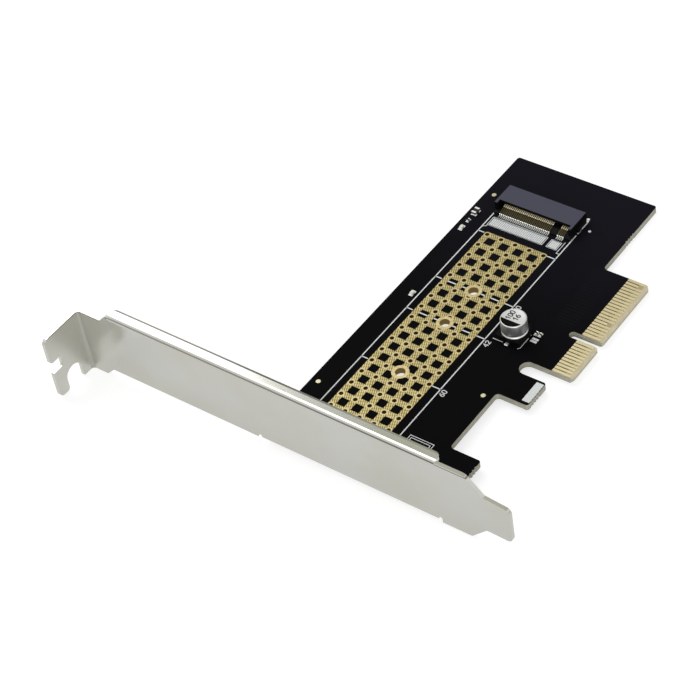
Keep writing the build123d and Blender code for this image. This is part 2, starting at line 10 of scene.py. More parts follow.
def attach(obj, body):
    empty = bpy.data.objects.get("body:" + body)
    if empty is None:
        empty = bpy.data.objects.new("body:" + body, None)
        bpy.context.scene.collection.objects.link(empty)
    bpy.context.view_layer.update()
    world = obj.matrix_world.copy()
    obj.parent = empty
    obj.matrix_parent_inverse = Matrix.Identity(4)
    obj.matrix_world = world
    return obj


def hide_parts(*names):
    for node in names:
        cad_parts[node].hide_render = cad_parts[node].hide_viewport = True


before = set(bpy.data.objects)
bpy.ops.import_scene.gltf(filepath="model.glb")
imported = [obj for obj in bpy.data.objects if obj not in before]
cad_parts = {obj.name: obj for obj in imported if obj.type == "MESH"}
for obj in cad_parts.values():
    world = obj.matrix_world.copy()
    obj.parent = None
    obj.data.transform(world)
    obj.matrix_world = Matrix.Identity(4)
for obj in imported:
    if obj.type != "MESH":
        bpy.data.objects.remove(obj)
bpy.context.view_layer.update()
millimetre = 0.001
print("packed model loaded:", len(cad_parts), "nodes")


class Value:  # a socket of a shader: arithmetic on it adds Math nodes
    def __init__(self, shader, socket):
        self.shader, self.socket = shader, socket

    def math(self, operation, *inputs):
        return self.shader.node("ShaderNodeMath", {"operation": operation},
                                dict(enumerate(inputs)))

    def __add__(self, other):
        return self.math("ADD", self, other)

    def __sub__(self, other):
        return self.math("SUBTRACT", self, other)

    def __rsub__(self, other):
        return self.math("SUBTRACT", other, self)

    def __mul__(self, other):
        return self.math("MULTIPLY", self, other)

    def __abs__(self):
        return self.math("ABSOLUTE", self)

    def orElse(self, other):
        return self.math("MAXIMUM", self, other)

    __radd__ = __add__
    __rmul__ = __mul__


class Shader:  # a tree of shader nodes, from empty
    def __init__(self, tree):
        self.tree = tree
        tree.nodes.clear()

    def node(self, kind, settings=None, inputs=None, output=0):
        made = self.tree.nodes.new(kind)
        for name, value in (settings or {}).items():
            setattr(made, name, value)
        for name, value in (inputs or {}).items():
            if isinstance(value, Value):
                self.tree.links.new(value.socket, made.inputs[name])
            elif isinstance(value, tuple) and made.inputs[name].type == "RGBA":
                made.inputs[name].default_value = (*value, 1)
            else:
                made.inputs[name].default_value = value
        return Value(self, made.outputs[output]) if made.outputs else None

    def parts(self, vector):  # x, y and z of a vector
        split = self.node("ShaderNodeSeparateXYZ", {}, {0: vector}).socket.node
        return [Value(self, socket) for socket in split.outputs]

    def vector(self, operation, *inputs, **named):
        return self.node("ShaderNodeVectorMath", {"operation": operation},
                         {**dict(enumerate(inputs)), **named})

    def colour(self, factor, first, second):
        return self.node("ShaderNodeMix", {"data_type": "RGBA"},
                         {0: factor, 6: first, 7: second}, 2)

    def rise(self, value, low, high):  # 0 below low, 1 above high, smooth between
        return self.node("ShaderNodeMapRange", {"interpolation_type": "SMOOTHSTEP"},
                         {"Value": value, "From Min": low, "From Max": high})


class Finish(Shader):  # one material, in the part's frame
    def __init__(self, name):
        self.material = bpy.data.materials.new(name)
        self.material.use_nodes = True
        super().__init__(self.material.node_tree)
        place = self.node("ShaderNodeTexCoord", output="Object")
        self.place = self.vector("SCALE", place, Scale=1 / millimetre)
        self.x, self.y, self.z = self.parts(self.place)

    def facing(self):  # how far the surface looks along x, y and z, whichever way
        normal = self.node("ShaderNodeNewGeometry", output="Normal")
        return [abs(part) for part in self.parts(normal)]

    def noise(self, scale, detail=2.0, stretch=(1, 1, 1), roughness=0.5):
        place = self.vector("MULTIPLY", self.place, stretch)
        return self.node("ShaderNodeTexNoise", {}, {
            "Vector": place, "Scale": scale, "Detail": detail, "Roughness": roughness})

    def bump(self, height, distance, strength=1.0):
        return self.node("ShaderNodeBump", {}, {
            "Height": height, "Distance": distance * millimetre, "Strength": strength})

    def finish(self, **inputs):
        names = {name: name.replace("_", " ") for name in inputs}
        surface = self.node("ShaderNodeBsdfPrincipled", {},
                            {names[name]: value for name, value in inputs.items()})
        self.node("ShaderNodeOutputMaterial", {}, {"Surface": surface})
        return self.material


# Camera, at the angle and distance worked out from the photograph
cameraSet = {
    "eye": (-291.774, -199.261, 355.991),
    "aim": (-14.7725, 37.2065, 13.7509),
    "roll": -8.44,
    "lens": 113.481,
    "shiftX": -0.10387,
    "shiftY": -0.08892,
}


def addCamera():
    data = bpy.data.cameras.new("camera")
    data.lens = cameraSet["lens"]
    data.sensor_width = 36
    data.shift_x, data.shift_y = cameraSet["shiftX"], cameraSet["shiftY"]
    data.clip_start, data.clip_end = 0.01, 50
    camera = bpy.data.objects.new("camera", data)
    eye, aim = Vector(cameraSet["eye"]), Vector(cameraSet["aim"])
    turn = (aim - eye).to_track_quat("-Z", "Y").to_matrix().to_4x4()
    roll = Matrix.Rotation(math.radians(cameraSet["roll"]), 4, "Z")
    camera.matrix_world = Matrix.Translation(eye * millimetre) @ turn @ roll
    bpy.context.scene.collection.objects.link(camera)
    bpy.context.scene.camera = camera


# Light: a large soft lamp above the far side, which the bracket's fold mirrors, a wide lamp
# on the camera's side, and a pale room
lightSet = {
    "keyPlace": (99, 514, 712),
    "keySize": 540,
    "keyPower": 2.3,
    "fillPlace": (-700, -500, 420),
    "fillSize": 700,
    "fillPower": 2.2,
    "room": 0.55,            # how strongly the room lights the object
    "roomColour": (0.97, 0.985, 1.0),
    "white": 1.0,            # how bright metal sees the room
    "wallColour": (0.64, 0.64, 0.56),
    "wallSide": (-0.05, 0.04), "wallEnd": (0.75, 1.0),   # where metal sees the wall fade in
    "horizonColour": (0.16, 0.12, 0.09), "horizon": (0.02, 0.2),
}


def addLamp(name, place, size, power):
    data = bpy.data.lights.new(name, "AREA")
    data.shape = "SQUARE"
    data.size = size * millimetre
    data.energy = power
    lamp = bpy.data.objects.new(name, data)
    place = Vector(place)
    aim = Vector(cameraSet["aim"]) - place
    lamp.matrix_world = (Matrix.Translation(place * millimetre)
                         @ aim.to_track_quat("-Z", "Y").to_matrix().to_4x4())
    bpy.context.scene.collection.objects.link(lamp)


def addRoom():
    world = bpy.data.worlds.new("room")
    bpy.context.scene.world = world
    world.use_nodes = True
    room = Shader(world.node_tree)
    x, y, z = room.parts(room.node("ShaderNodeTexCoord", output="Generated"))
    wall = (room.rise(x - y, *lightSet["wallSide"])
            * room.rise(x + 0.6 * y + 0.8 * z, *lightSet["wallEnd"]))
    seen = room.colour(wall, (1.0, 1.0, 1.0), lightSet["wallColour"])
    seen = room.colour(room.rise(z, *lightSet["horizon"]), lightSet["horizonColour"], seen)
    rays = room.node("ShaderNodeLightPath").socket.node.outputs
    camera, glossy, through = (Value(room, rays[name]) for name in (
        "Is Camera Ray", "Is Glossy Ray", "Is Transmission Ray"))
    lit = room.node("ShaderNodeBackground", {}, {
        "Color": lightSet["roomColour"], "Strength": lightSet["room"]})
    mirrored = room.node("ShaderNodeBackground", {}, {
        "Color": seen, "Strength": lightSet["white"]})
    white = room.node("ShaderNodeBackground", {}, {"Color": (1, 1, 1), "Strength": 1.0})
    shown = room.node("ShaderNodeMixShader", {}, {0: glossy, 1: lit, 2: mirrored})
    shown = room.node("ShaderNodeMixShader", {}, {
        0: camera.orElse(through), 1: shown, 2: white})
    room.node("ShaderNodeOutputWorld", {}, {"Surface": shown})


# Floor: the plane that the card rests on, at a corner of its tab, a screw and its far end
floorSet = {"slopeX": 0.01764, "slopeY": -0.01686, "height": -2.215, "reach": 4000,
            "colour": (0.86, 0.86, 0.86), "seen": (0.42, 0.42, 0.415),
            "glow": 0.72, "mirroredGlow": 0.57}


def addFloor():
    finish = Finish("paleFloor")
    rays = finish.node("ShaderNodeLightPath").socket.node.outputs
    camera, mirrored, through = (Value(finish, rays[name]) for name in (
        "Is Camera Ray", "Is Glossy Ray", "Is Transmission Ray"))
    seen = camera.orElse(mirrored).orElse(through)
    paper = finish.node("ShaderNodeBsdfDiffuse", {}, {"Color": floorSet["colour"]})
    shade = finish.node("ShaderNodeBsdfDiffuse", {}, {"Color": floorSet["seen"]})
    glow = finish.node("ShaderNodeEmission", {}, {
        "Color": (1, 1, 1), "Strength": floorSet["glow"]
        + (floorSet["mirroredGlow"] - floorSet["glow"]) * mirrored})
    both = finish.node("ShaderNodeAddShader", {}, {0: shade, 1: glow})
    above = finish.node("ShaderNodeMixShader", {}, {0: seen, 1: paper, 2: both})
    below = finish.node("ShaderNodeNewGeometry", output="Backfacing")
    clear = finish.node("ShaderNodeBsdfTransparent")
    surface = finish.node("ShaderNodeMixShader", {}, {0: below, 1: above, 2: clear})
    finish.node("ShaderNodeOutputMaterial", {}, {"Surface": surface})
    reach = floorSet["reach"]
    corners = [(-reach, -reach), (reach, -reach), (reach, reach), (-reach, reach)]
    data = bpy.data.meshes.new("floor")
    data.from_pydata([(x * millimetre, y * millimetre, (
        floorSet["slopeX"] * x + floorSet["slopeY"] * y + floorSet["height"]) * millimetre)
        for x, y in corners], [], [(0, 1, 2, 3)])
    data.materials.append(finish.material)
    floor = bpy.data.objects.new("floor", data)
    bpy.context.scene.collection.objects.link(floor)


addCamera()
addLamp("keyLamp", lightSet["keyPlace"], lightSet["keySize"], lightSet["keyPower"])
addLamp("fillLamp", lightSet["fillPlace"], lightSet["fillSize"], lightSet["fillPower"])
addRoom()
addFloor()
bpy.context.scene.view_settings.view_transform = "Standard"
print("camera, light and floor are in place")


class Shape:  # points and faces of a piece, gathered before its mesh is made
    def __init__(self):
        self.points, self.faces = [], []

    def add(self, points, faces):
        start = len(self.points)
        self.points += points
        self.faces += [[start + corner for corner in face] for face in faces]

    def prism(self, outline, low, high):  # an outline drawn anticlockwise, made thick
        count = len(outline)
        points = [(x, y, z) for z in (low, high) for x, y in outline]
        sides = [(i, (i + 1) % count, count + (i + 1) % count, count + i)
                 for i in range(count)]
        lids = [tuple(reversed(range(count))), tuple(range(count, 2 * count))]
        self.add(points, sides + lids)

    def stroke(self, path, width, low, high, closed=False):  # a line with mitred corners
        count = len(path)
        left, right = [], []
        for i, (x, y) in enumerate(path):
            ways = []
            if closed or i > 0:
                ways.append(Vector(path[i]) - Vector(path[i - 1]))
            if closed or i < count - 1:
                ways.append(Vector(path[(i + 1) % count]) - Vector(path[i]))
            sides = [Vector((-way.y, way.x)).normalized() for way in ways]
            side = (sides[0] + sides[-1]).normalized()
            side *= width / 2 / max(side.dot(sides[0]), 0.4)
            left.append((x + side.x, y + side.y))
            right.append((x - side.x, y - side.y))
        if closed:
            self.band(left, right, low, high)
            return
        self.prism(right + self.cap(path[-1], right[-1])
                   + left[::-1] + self.cap(path[0], left[0]), low, high)

    def cap(self, middle, start, steps=6):  # the points of a round end, from start half round
        middle, start = Vector(middle), Vector(start)
        arm = start - middle
        return [tuple(middle + Matrix.Rotation(math.pi * k / steps, 2) @ arm)
                for k in range(1, steps)]

    def band(self, outer, inner, low, high):  # a closed ring between two outlines
        count = len(outer)
        points = [(x, y, z) for z in (low, high) for ring in (outer, inner)
                  for x, y in ring]
        faces = []
        for i in range(count):
            j = (i + 1) % count
            a, b, c, d = i, j, count + j, count + i
            faces += [(a, b, c, d), (d + 2 * count, c + 2 * count, b + 2 * count,
                                     a + 2 * count),
                      (b, a, a + 2 * count, b + 2 * count),
                      (d, c, c + 2 * count, d + 2 * count)]
        self.add(points, faces)

    def sheet(self, outlines, holes, low, high):  # outlines with holes cut, made thick
        loops = [*outlines, *holes]
        points, faces = [], []
        for loop in loops:
            faces.append(list(range(len(points), len(points) + len(loop))))
            points += [Vector(point) for point in loop]
        made = delaunay_2d_cdt(points, [], faces, 1, 1e-5)
        flat, triangles, owners = made[0], made[2], made[5]
        kept = [face for face, owner in zip(triangles, owners)
                if owner and max(owner) < len(outlines)]
        count = len(flat)
        turned = [face if self.area(flat, face) > 0 else face[::-1] for face in kept]
        walls = {}
        for face in turned:
            for a, b in zip(face, [*face[1:], face[0]]):
                if (b, a) in walls:
                    del walls[b, a]
                else:
                    walls[a, b] = True
        self.add([(*point, z) for z in (low, high) for point in flat],
                 [face[::-1] for face in turned]
                 + [[count + i for i in face] for face in turned]
                 + [(a, b, count + b, count + a) for a, b in walls])

    def area(self, flat, face):
        total = 0
        for i, j in zip(face, [*face[1:], face[0]]):
            total += flat[i][0] * flat[j][1] - flat[j][0] * flat[i][1]
        return total

    def lathe(self, profile, middle, steps):  # a profile of radius and height, turned
        x, y = middle
        turns = [2 * math.pi * k / steps for k in range(steps)]
        rings = [[(x + r * math.cos(t), y + r * math.sin(t), z) for t in turns]
                 for r, z in profile]
        faces = []
        for low in range(len(profile) - 1):
            for k in range(steps):
                a, b = low * steps + k, low * steps + (k + 1) % steps
                faces.append((a, b, b + steps, a + steps))
        last = (len(profile) - 1) * steps
        lids = [tuple(reversed(range(steps))), tuple(range(last, last + steps))]
        self.add([point for ring in rings for point in ring], faces + lids)

    def make(self, name, material, slot, angle, replaced=()):
        data = bpy.data.meshes.new(name)
        data.from_pydata([Vector(point) * millimetre for point in self.points], [],
                         self.faces)
        data.update()
        data.materials.append(material)
        data.shade_smooth()
        data.set_sharp_from_angle(angle=math.radians(angle))
        piece = bpy.data.objects.new(name, data)
        bpy.context.scene.collection.objects.link(piece)
        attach(piece, "root")
        if replaced:
            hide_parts(*replaced)


def ring(x, y, radius, steps=24):
    return [(x + radius * math.cos(2 * math.pi * k / steps),
             y + radius * math.sin(2 * math.pi * k / steps)) for k in range(steps)]


def box(x0, x1, y0, y1):
    return [(x0, y0), (x1, y0), (x1, y1), (x0, y1)]


def roundedBox(x0, x1, y0, y1, radius, steps=6):
    corners = ((x1 - radius, y1 - radius, 0), (x0 + radius, y1 - radius, 90),
               (x0 + radius, y0 + radius, 180), (x1 - radius, y0 + radius, 270))
    return [(x + radius * math.cos(math.radians(start + 90 * k / steps)),
             y + radius * math.sin(math.radians(start + 90 * k / steps)))
            for x, y, start in corners for k in range(steps + 1)]


def paint(node, material):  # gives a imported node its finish
    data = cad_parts[node].data
    data.materials.clear()
    data.materials.append(material)


# Circuit board: black mask on both faces, bare laminate round the contacts and on the edges
boardSet = {
    "mask": (0.0034, 0.0034, 0.0040),
    "maskSheen": (0.0092, 0.0088, 0.0130),   # painted sheen, paler towards the far end
    "trace": (0.0098, 0.0096, 0.0115),     # a track under the mask
    "maskRoughness": 0.34,
    "laminate": (0.60, 0.585, 0.49),
    "laminateDark": (0.38, 0.365, 0.29),
    "betweenContacts": (0.18, 0.14, 0.055),
    "betweenLight": (0.26, 0.21, 0.095),
    "shortEnd": 2.3,   # how far up the short contacts' places reach
    "bladeRim": (0.62, 0.52, 0.32),
    "bevel": (0.74, 0.68, 0.50),
    "bladeEnd": (0.56, 0.53, 0.42),
    "thickness": 1.6,
    "bladeStart": (-12.6, -12.4), "bladeStop": (22.5, 22.8), "bladeTop": (5.46, 5.54),
    "sheenReach": (-10, 50),            # where the painted sheen turns the mask paler, in x
    "traceFoot": (8.2, 8.6), "traceTop": (15, 15.5), "traceMiddle": 12, "traceReach": (10, 10.5),
    "rimMiddles": ((11.5, 10.2), (-6.5, 5.2)),   # of each blade in x, and half its width
    "roughness": 0.62,            # of bare laminate
}


def boardFinish():
    f = Finish("blackBoard")
    up = f.facing()[2]
    flat = f.rise(up, 0.93, 0.97)
    sloped = f.rise(up, 0.3, 0.6) * (1 - flat)
    b = boardSet
    blade = (f.rise(f.x, *b["bladeStart"]) * (1 - f.rise(f.x, *b["bladeStop"]))
             * (1 - f.rise(f.y, *b["bladeTop"])))
    cloud = f.noise(0.12, 3)
    # painted sheen: the mask turns paler towards the far end
    mask = f.colour(f.rise(f.x + 14 * cloud, *b["sheenReach"]), b["mask"], b["maskSheen"])
    pair = f.node("ShaderNodeMath", {"operation": "PINGPONG"}, {0: f.x + 0.25, 1: 0.5})
    traces = (1 - f.rise(pair, 0.12, 0.2)) * f.rise(f.y, *b["traceFoot"]) * (1 - f.rise(
        f.y + 3 * f.noise(0.2), *b["traceTop"])) * (1 - f.rise(
            abs(f.x - b["traceMiddle"]), *b["traceReach"]))
    mask = f.colour(0.6 * traces, mask, b["trace"])
    grain = f.noise(1.6, 4, (0.35, 0.35, 5.0), 0.6)
    cut = f.colour(f.rise(grain, 0.35, 0.68), b["laminateDark"], b["laminate"])
    lip = f.rise(abs(f.z + b["thickness"] / 2), 0.72, 0.77)
    cut = f.colour(lip * 0.6, cut, b["mask"])
    cut = f.colour(1 - f.rise(f.y, 0.1, 0.3), cut, b["bladeEnd"])
    weave = f.noise(3.0, 2, (1.0, 0.25, 1.0))
    bare = f.colour(f.rise(weave, 0.3, 0.7), b["betweenContacts"], b["betweenLight"])
    wide, narrow = (1 - f.rise(abs(f.x - middle), half, half + 0.1)
                    for middle, half in b["rimMiddles"])
    inner = wide.orElse(narrow) * f.rise(f.y, 1.0, 1.2)
    inner = inner * (0.35 + 0.65 * f.rise(f.y, b["shortEnd"] - 0.2, b["shortEnd"]))
    bare = f.colour(inner, b["bladeRim"], bare)
    bevel = f.colour(f.rise(grain, 0.3, 0.7), b["bladeRim"], b["bevel"])
    face = f.colour(blade, mask, bare)
    colour = f.colour(flat, f.colour(sloped, cut, bevel), face)
    covered = flat * (1 - blade)
    haze = f.noise(0.5, 4)
    roughness = covered * (b["maskRoughness"] - b["roughness"] + 0.1 * haze) + b["roughness"]
    relief = covered * f.noise(5.0, 2) + (1 - covered) * 4 * grain
    return f.finish(Base_Color=colour, Roughness=roughness, Specular_IOR_Level=0.012,
                    Normal=f.bump(relief, 0.004))


paint("circuit_board", boardFinish())
print("board is finished")

# Copper that carries the drive's heat away: bare gilt grid with windows, and vias whose dark dishes
# are painted shade for the holes
gridSet = {
    "holeLine": 35.45,
    "firstX": -48.9, "rows": 18, "columns": 5, "pitch": 4.0,
    "margin": 0.8, "cornerRadius": 0.6, "window": 2.3,
    "via": 0.56, "thickness": 0.05,
    "drillHoles": (1.1, -10.9, -28.9, -48.9), "ringRadius": 2.1,
    "gold": (0.60, 0.51, 0.26), "goldDark": (0.17, 0.135, 0.042),
    # the vias' dark colour is painted shade for the holes
    "rim": (0.53, 0.45, 0.24), "viaShade": (0.024, 0.010, 0.0006),
    "hatchAngle": 24, "hatchPitch": 0.5, "crossPitch": 0.9, "clearOfHole": 2.7,
    "metallic": 0.9, "rimReach": (0.82, 0.95),   # the smooth ring round each via
}


def goldFinish(name, upper=True):
    g = gridSet
    f = Finish(name)
    turn = math.radians(g["hatchAngle"])
    streak = f.y * math.cos(turn) - f.x * math.sin(turn)
    wave = f.node("ShaderNodeMath", {"operation": "SINE"}, {
        0: streak * (2 * math.pi / g["hatchPitch"]) + 2.2 * f.noise(0.9, 2)})
    cross = f.node("ShaderNodeMath", {"operation": "SINE"}, {
        0: (f.x * math.cos(turn) + f.y * math.sin(turn)) * (2 * math.pi / g["crossPitch"])})
    hatch = 0.5 + 0.36 * wave + 0.14 * cross
    half = g["pitch"] / 2
    nearX = f.node("ShaderNodeMath", {"operation": "PINGPONG"}, {
        0: f.x - g["firstX"], 1: half})
    nearY = f.node("ShaderNodeMath", {"operation": "PINGPONG"}, {
        0: f.y - (g["holeLine"] - 2 * g["pitch"]), 1: half})
    radius = f.node("ShaderNodeMath", {"operation": "SQRT"}, {
        0: nearX * nearX + nearY * nearY})
    smooth = 1 - f.rise(radius, *g["rimReach"])
    hatch = hatch * (1 - smooth) + 0.9 * smooth
    tone = hatch + 0.5 * f.noise(0.35, 3) - 0.25
    gold = f.colour(f.rise(tone, 0.1, 0.95), g["goldDark"], g["gold"])
    gold = f.colour(smooth * 0.8, gold, g["rim"])
    # painted shade: a dark dish in each via stands in for the hole
    viaShade = 1 - f.rise(radius, g["via"] - 0.03, g["via"]) if upper else 0.0
    return f.finish(Base_Color=f.colour(viaShade, gold, g["viaShade"]), Metallic=g["metallic"] * (1 - viaShade),
                    Roughness=0.44 - 0.04 * smooth, Specular_IOR_Level=0.05,
                    Normal=f.bump(hatch, 0.02, 0.6))


def thermalGrid():
    g = gridSet
    pitch, line = g["pitch"], g["holeLine"]
    xs = [g["firstX"] + pitch * i for i in range(g["rows"])]
    ys = [line + pitch * (j - 2) for j in range(g["columns"])]
    margin, half = g["margin"], g["window"] / 2
    outer = roundedBox(xs[0] - margin, xs[-1] + margin, ys[0] - margin, ys[-1] + margin,
                       g["cornerRadius"])
    windows = [roundedBox(x + pitch / 2 - half, x + pitch / 2 + half, y + pitch / 2 - half,
                          y + pitch / 2 + half, 0.12, 2) for x in xs[:-1] for y in ys[:-1]]
    vias = [(x, y) for x in xs for y in ys
            if all(math.hypot(x - hole, y - line) > g["clearOfHole"]
                   for hole in g["drillHoles"])]
    holes = windows + [ring(x, y, g["via"] + 0.02) for x, y in vias]
    holes += [ring(x, line, g["ringRadius"], 48) for x in g["drillHoles"]]
    grid = Shape()
    grid.sheet([outer], holes, 0.0, g["thickness"])
    for x, y in vias:
        grid.lathe([(g["via"] + 0.02, 0.002), (g["via"] + 0.02, g["thickness"]),
                    (g["via"] - 0.03, 0.01), (0.3, 0.006), (0.05, 0.012)], (x, y), 24)
    return grid


thermalGrid().make("heatGrid", goldFinish("giltGrid"), "bare_gold", 30, ["thermal_grid_top"])
paint("thermal_pad_bottom", goldFinish("giltArea", False))
print("heat grid is finished")


# Plain metals: light tone, dark tone and roughness
metalSet = {
    "ring": ((0.62, 0.52, 0.30), (0.46, 0.37, 0.18), 0.36),
    "dot": ((0.62, 0.58, 0.40), (0.50, 0.45, 0.28), 0.36),
    # the holes' walls: painted shade
    "barrel": (0.24, 0.165, 0.035),
    "contact": ((0.70, 0.62, 0.41), (0.60, 0.52, 0.32), 0.36),
    "tin": ((0.90, 0.90, 0.88), (0.72, 0.72, 0.71), 0.34),
    "shadedLand": ((0.14, 0.14, 0.13), (0.09, 0.09, 0.09), 0.45),       # painted shade: darker than real tin, and the hold-downs near black, though tinned
    "shadedHoldDown": ((0.03, 0.03, 0.03), (0.02, 0.02, 0.02), 0.5),    # as the photo shows them
    "screw": ((0.62, 0.61, 0.58), (0.45, 0.44, 0.41), 0.28),
}


def metal(kind, name, stretch=(1, 1, 1)):
    light, dark, roughness = metalSet[kind]
    f = Finish(name)
    wear = f.noise(1.4, 3, stretch)
    colour = f.colour(f.rise(wear, 0.3, 0.7), dark, light)
    return f.finish(Base_Color=colour, Metallic=1.0, Roughness=roughness + 0.12 * wear,
                    Normal=f.bump(f.noise(9, 2, stretch), 0.002))


contactGold = metal("contact", "contactGold", (4.0, 0.15, 1.0))
tin = metal("tin", "tinnedCopper")


def barrelFinish():  # bright rings, and painted shade down the holes' walls
    f = Finish("ringGold")
    light, dark, roughness = metalSet["ring"]
    wear = f.noise(1.4, 3)
    # painted shade: the holes' walls are darker and less metallic
    wall = 1 - f.rise(f.facing()[2], 0.4, 0.8)
    colour = f.colour(f.rise(wear, 0.3, 0.7), dark, light)
    colour = f.colour(wall, colour, metalSet["barrel"])
    return f.finish(Base_Color=colour, Metallic=1 - 0.5 * wall, Roughness=roughness + 0.12 * wear,
                    Normal=f.bump(f.noise(9, 2), 0.002))


paint("drive_hole_barrels", barrelFinish())
paint("edge_contacts_top", contactGold)
paint("edge_contacts_bottom", contactGold)
paint("fiducial_marks", metal("dot", "dotGold"))
# painted shade on the lands and hold-downs
paint("socket_lands", metal("shadedLand", "shadedTin"))
paint("socket_hold_downs", metal("shadedHoldDown", "shadedSteel"))
for node in ("capacitor_leads", "component_lands",
             "led_terminals", "resistor_end_caps", "chip_capacitor_end_caps"):
    paint(node, tin)
paint("bracket_screws", metal("screw", "screwSteel"))


# Slot bracket: bright plated steel
bracketSet = {"steel": (0.585, 0.59, 0.55), "steelWarm": (0.565, 0.555, 0.50),
              # the tab's lighter tone is painted light, and the dark line on the free edges a
              # painted reflection
              "steelTabLit": (0.62, 0.615, 0.565), "darkEdgeReflection": (0.09, 0.085, 0.075),
              # the crease along the fold and the tab bend's darker tone are painted shade
              "creaseShade": (0.09, 0.065, 0.045), "tabBendShade": (0.44, 0.435, 0.39),
              "roughness": 0.16, "tabRoughness": 0.32, "foldRoughness": 0.08,
              "topZ": 15.96, "lowZ": -2.46, "tabTopZ": 13.51, "slopeEndY": 97.05,
              "flangeEdgeX": -55.95, "foldEndX": -57.8,
              "creaseShadeStart": (0.66, 0.58), "creaseShadeStop": (0.4, 0.26),   # where the painted shade of the crease lies, below the fold's top
              # where the painted reflection runs on the lower edge, and where the tab's painted
              # light comes in
              "lowEdgeReflection": (5, 14), "lowEdgeReflectionEnd": (50, 62), "tabLitReach": (92, 103)}


def steelFinish():  # with a painted dark reflection along the free edges, painted light on the tab and painted shade at the fold and the tab's bend
    b = bracketSet
    f = Finish("platedSteel")
    cloud = f.noise(0.05, 3)
    brushed = f.noise(2.0, 3, (1.0, 0.06, 1.0))
    colour = f.colour(f.rise(cloud, 0.35, 0.65), b["steelWarm"], b["steel"])
    # painted light: the tab is lighter than the plate
    colour = f.colour(f.rise(f.y, *b["tabLitReach"]), colour, b["steelTabLit"])
    top, low, tabTop = b["topZ"], b["lowZ"], b["tabTopZ"]
    across, along, up = f.facing()
    upright = 1 - f.rise(up, 0.3, 0.5)
    # painted shade over the tab's bend
    bendShade = f.rise(abs(across * along), 0.1, 0.3) * upright * f.rise(f.y, 97, 98)
    colour = f.colour(bendShade, colour, b["tabBendShade"])
    # painted shade: a dark crease along the fold
    start, stop = ([top - depth for depth in b[key]] for key in ("creaseShadeStart", "creaseShadeStop"))
    creaseShade = f.rise(f.z, *start) * (1 - f.rise(f.z, *stop))
    creaseShade = creaseShade * (1 - f.rise(f.y, b["slopeEndY"] - 5, b["slopeEndY"]))
    creaseShade = creaseShade * (1 - f.rise(f.x, b["foldEndX"] - 0.2, b["foldEndX"]))
    colour = f.colour(creaseShade * (0.75 - 0.25 * f.rise(f.y, 10, 80)), colour, b["creaseShade"])
    # painted reflection: a dark line on the flange's free edge, the tab's top edge and the plate's
    # lower edge
    rim = f.rise(f.x, b["flangeEdgeX"] - 0.55, b["flangeEdgeX"] - 0.4) * f.rise(
        f.z, top - 0.05, top - 0.02) * (0.35 + 0.65 * f.rise(f.y, 15, 55))
    beyond = f.rise(f.y, b["slopeEndY"] - 0.2, b["slopeEndY"] + 0.1) * upright
    rim = rim.orElse(beyond * f.rise(f.z, tabTop - 0.32, tabTop - 0.22) * 0.7)
    lower = upright * (1 - f.rise(f.z, low + 0.1, low + 0.25)) * f.rise(f.y, *b["lowEdgeReflection"])
    rim = rim.orElse(lower * (1 - f.rise(f.y, *b["lowEdgeReflectionEnd"])) * 0.4)
    colour = f.colour(rim, colour, b["darkEdgeReflection"])
    fold = f.rise(f.z, top - 1.4, top - 0.9)
    roughness = b["roughness"] + (b["foldRoughness"] - b["roughness"]) * fold
    roughness = roughness + (b["tabRoughness"] - b["roughness"]) * f.rise(f.y, 90, 98)
    return f.finish(Base_Color=colour, Metallic=1.0, Roughness=roughness + 0.03 * brushed,
                    Normal=f.bump(f.noise(1.2, 2), 0.0002))


paint("slot_bracket", steelFinish())
print("metal is finished")


# Drive socket and other plastic
plasticSet = {
    # the socket's grey is painted light, used on the housing's top faces
    "socket": ((0.072, 0.073, 0.098), 0.42),
    "base": ((0.0035, 0.0035, 0.004), 0.45),
    "chip": ((0.016, 0.015, 0.016), 0.4),
    "tan": ((0.05, 0.04, 0.035), 0.5),
    "carrier": ((0.70, 0.70, 0.66), 0.5),
    "lens": ((0.82, 0.82, 0.70), 0.15),
    "ink": ((0.02, 0.02, 0.022), 0.5),
}


def plastic(kind):
    colour, roughness = plasticSet[kind]
    f = Finish(kind + "Plastic")
    speck = f.noise(14, 3)
    tone = f.colour(0.25 * speck, colour, tuple(1.5 * c for c in colour))
    return f.finish(Base_Color=tone, Roughness=roughness + 0.12 * speck,
                    Specular_IOR_Level=0.05, Normal=f.bump(speck, 0.006))


def housingFinish():  # painted light: grey on the top faces, where they catch the light, black below
    f = Finish("socketLitTopPlastic")
    speck = f.noise(14, 3)
    # painted light on the top faces
    top = f.rise(f.facing()[2], 0.9, 0.95) * f.rise(f.z, 2.9, 3.0)
    light, roughness = plasticSet["socket"]
    dark = plasticSet["base"][0]
    tone = f.colour(0.25 * speck, light, tuple(1.5 * c for c in light))
    return f.finish(Base_Color=f.colour(top, dark, tone), Roughness=roughness + 0.12 * speck,
                    Specular_IOR_Level=0.06, Normal=f.bump(speck, 0.006))


paint("socket_housing", housingFinish())
for node, kind in (("capacitor_base", "base"),
                   ("resistor_bodies", "chip"), ("chip_capacitor_body", "tan"),
                   ("led_bases", "carrier"), ("led_lenses", "lens")):
    paint(node, plastic(kind))


# the tips' gilt is real gold made brighter as painted light; the beams' dark tone is painted shade
pinSet = {"gilt": (1.0, 0.94, 0.72), "giltDark": (0.92, 0.74, 0.42),
          "beamShade": (0.055, 0.047, 0.024), "tin": (0.86, 0.86, 0.84),
          "beamStart": (26.2, 26.4), "beamStop": (28.1, 28.3), "backFeet": (34.1, 34.3)}


